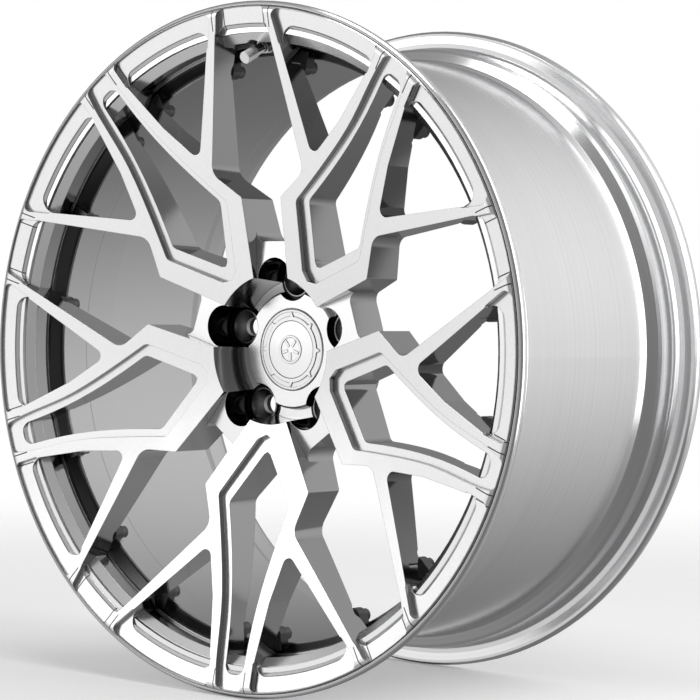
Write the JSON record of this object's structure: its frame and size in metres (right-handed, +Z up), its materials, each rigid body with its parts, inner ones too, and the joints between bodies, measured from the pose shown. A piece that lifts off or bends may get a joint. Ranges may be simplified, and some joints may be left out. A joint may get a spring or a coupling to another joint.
{
  "type": "forged racing wheel rim",
  "caption": "Two-piece forged racing wheel rim with split-arm spokes, concave face, lug seats, pull-off centre cap and clamp-in tyre valve.",
  "frame": {"origin": "on the axle, halfway across the rim's width", "axes": "+Y along the axle towards the car, so the styled face looks along -Y; +Z up through the valve; +X to the right seen from the styled face"},
  "size_m": [0.5419, 0.254, 0.542],
  "materials": {
    "machined_face": "forged aluminium, finely brushed and clear coated",
    "polished_rim": "spun and polished aluminium",
    "black_rubber": "nitrile rubber",
    "bolt_steel": "zinc-nickel plated steel",
    "zinc_steel": "zinc plated steel",
    "insert_steel": "stainless thread insert",
    "seat_steel": "machined steel conical seat",
    "ring_aluminium": "turned aluminium",
    "cap_plastic": "painted plastic, silver",
    "cap_trim": "bright trim",
    "emblem": "plain satin disc",
    "spring_steel": "spring steel wire",
    "valve_aluminium": "clear anodised aluminium",
    "valve_rubber": "EPDM rubber",
    "valve_cap_metal": "knurled aluminium cap",
    "brass": "plain brass"
  },
  "bodies": {
    "wheel": {"wheel_centre": "machined_face", "rim_shell": "polished_rim", "seal_ring": "black_rubber", "assembly_bolts": "bolt_steel", "bolt_washers": "zinc_steel", "thread_inserts": "insert_steel", "lug_seats": "seat_steel", "hub_centring_ring": "ring_aluminium", "valve_stem": "valve_aluminium", "valve_grommet": "valve_rubber", "valve_washer": "valve_aluminium", "valve_nut": "valve_aluminium", "valve_core": "brass", "core_seal": "valve_rubber", "valve_spring": "spring_steel"},
    "centre_cap": {"cap_body": "cap_plastic", "cap_gear_ring": "cap_trim", "cap_emblem": "emblem", "cap_spring_ring": "spring_steel", "cap_o_ring": "black_rubber"},
    "valve_cap_travel": {"valve_cap_seal": "valve_rubber"},
    "valve_cap": {"valve_cap": "valve_cap_metal"},
    "valve_pin": {"valve_pin": "brass"}
  },
  "joints": [
    {"name": "centre_cap_pull", "type": "slide", "parent": "wheel", "child": "centre_cap", "axis": [0, -1, 0], "range_m": [0, 0.03]},
    {"name": "valve_cap_rise", "type": "slide", "parent": "wheel", "child": "valve_cap_travel", "axis": [0, -0.8882, -0.4594], "range_m": [0, 0.00635]},
    {"name": "valve_cap_turn", "type": "hinge", "parent": "valve_cap_travel", "child": "valve_cap", "pos_m": [0, -0.09324, 0.24061], "axis": [0, -0.8882, -0.4594], "range_deg": [0, 2880]},
    {"name": "valve_pin_press", "type": "slide", "parent": "wheel", "child": "valve_pin", "axis": [0, 0.8882, 0.4594], "range_m": [0, 0.001], "stiffness_N_per_m": 400}
  ],
  "couplings": [
    {"joint": "valve_cap_turn", "follows": "valve_cap_rise", "rad_per_m": 7915.3}
  ]
}
